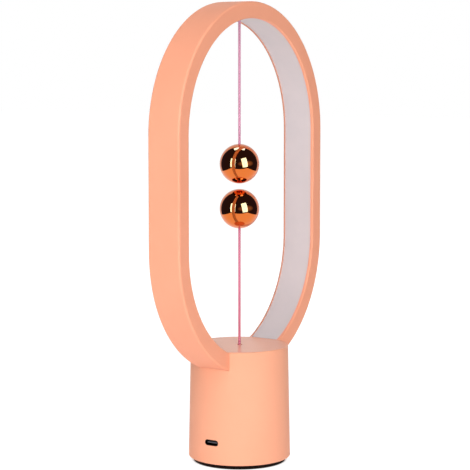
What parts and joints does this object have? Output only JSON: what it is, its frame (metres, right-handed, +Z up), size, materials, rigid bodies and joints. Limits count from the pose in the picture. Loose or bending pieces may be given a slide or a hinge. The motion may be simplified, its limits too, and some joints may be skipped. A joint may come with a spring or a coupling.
{
  "type": "magnetic balance lamp",
  "caption": "Table lamp with an oval light ring on a round base; a ball hung from the ring and a ball on a cord from the base hold each other by magnets and switch the light.",
  "frame": {"origin": "middle of the foot pad's underside, on the table", "axes": "+Z up along the cords, +X across the ring's width with the charging port on the -X side, -Y towards the ring's front face"},
  "size_m": [0.15, 0.0594, 0.2665],
  "materials": {
    "peach_plastic": "fine satin moulded plastic",
    "milky_diffuser": "milky translucent plastic",
    "copper_mirror": "polished rose copper plating",
    "pink_cord": "twisted pink thread",
    "black_rubber": "dull rubber",
    "dark_plastic": "fine moulded plastic",
    "white_plastic": "moulded plastic",
    "light_chip": "phosphor resin",
    "bright_steel": "plated steel",
    "can_aluminium": "bright can",
    "green_board": "solder mask",
    "red_wire": "wire insulation"
  },
  "bodies": {
    "lamp_body": {"base_shell": "peach_plastic", "bottom_cover": "dark_plastic", "foot_pad": "black_rubber", "ballast_weight": "bright_steel", "cover_screws": "bright_steel", "main_board": "green_board", "board_screws": "bright_steel", "usb_socket": "bright_steel", "usb_tongue": "dark_plastic", "driver_chip": "dark_plastic", "inductor": "dark_plastic", "capacitors": "can_aluminium", "wire_sockets": "white_plastic", "ring_shell": "peach_plastic", "ring_back_cover": "peach_plastic", "diffuser": "milky_diffuser", "led_strip": "white_plastic", "led_chips": "light_chip", "ring_clamps": "dark_plastic", "clamp_screws": "bright_steel", "led_wires": "red_wire", "cord_anchor": "white_plastic", "anchor_knot": "pink_cord", "switch_guide": "white_plastic", "guide_screws": "bright_steel", "return_spring": "bright_steel", "micro_switch": "dark_plastic", "switch_terminals": "bright_steel", "lever_pin": "bright_steel", "switch_screws": "bright_steel", "switch_wires": "red_wire"},
    "upper_cord_bend": {"upper_cord_bend": "pink_cord"},
    "upper_ball": {"upper_cord": "pink_cord", "upper_ball": "copper_mirror", "upper_ball_knot": "pink_cord", "upper_magnet": "bright_steel", "upper_magnet_cup": "white_plastic"},
    "lower_cord_bend": {"lower_cord_bend": "pink_cord"},
    "lower_cord": {"lower_cord": "pink_cord"},
    "lower_ball": {"lower_ball": "copper_mirror", "lower_ball_knot": "pink_cord", "lower_magnet": "bright_steel", "lower_magnet_cup": "white_plastic"},
    "pull_slider": {"pull_slider": "dark_plastic", "switch_cord": "pink_cord", "slider_knot": "pink_cord"},
    "switch_lever": {"switch_lever": "bright_steel"},
    "switch_plunger": {"switch_plunger": "white_plastic"}
  },
  "joints": [
    {"name": "upper_swing_x", "type": "hinge", "parent": "lamp_body", "child": "upper_cord_bend", "pos_m": [0, 0, 0.256], "axis": [1, 0, 0], "range_deg": [-45, 45]},
    {"name": "upper_swing_y", "type": "hinge", "parent": "upper_cord_bend", "child": "upper_ball", "pos_m": [0, 0, 0.256], "axis": [0, 1, 0], "range_deg": [-35, 35]},
    {"name": "lower_swing_x", "type": "hinge", "parent": "lamp_body", "child": "lower_cord_bend", "pos_m": [0, 0, 0.0686], "axis": [1, 0, 0], "range_deg": [-20, 20], "stiffness_Nm_per_rad": 0.05},
    {"name": "lower_swing_y", "type": "hinge", "parent": "lower_cord_bend", "child": "lower_cord", "pos_m": [0, 0, 0.0686], "axis": [0, 1, 0], "range_deg": [-20, 20], "stiffness_Nm_per_rad": 0.05},
    {"name": "lower_ball_drop", "type": "slide", "parent": "lower_cord", "child": "lower_ball", "axis": [0, 0, 1], "range_m": [-0.066, 0], "deforming": ["lower_cord"]},
    {"name": "pull_switch", "type": "slide", "parent": "lamp_body", "child": "pull_slider", "axis": [0, 0, 1], "range_m": [-0.0025, 0], "stiffness_N_per_m": 20, "springref_m": -0.006, "deforming": ["return_spring"]},
    {"name": "lever_tilt", "type": "hinge", "parent": "lamp_body", "child": "switch_lever", "pos_m": [0.0105, 0, 0.0417], "axis": [0, 1, 0], "range_deg": [-13.4, 0]},
    {"name": "plunger_press", "type": "slide", "parent": "lamp_body", "child": "switch_plunger", "axis": [0, 0, 1], "range_m": [-0.00096, 0]}
  ],
  "couplings": [
    {"joint": "pull_switch", "follows": "lower_ball_drop", "ratio": 0.03787},
    {"joint": "lever_tilt", "follows": "lower_ball_drop", "rad_per_m": 3.54},
    {"joint": "plunger_press", "follows": "lower_ball_drop", "ratio": 0.0144}
  ]
}
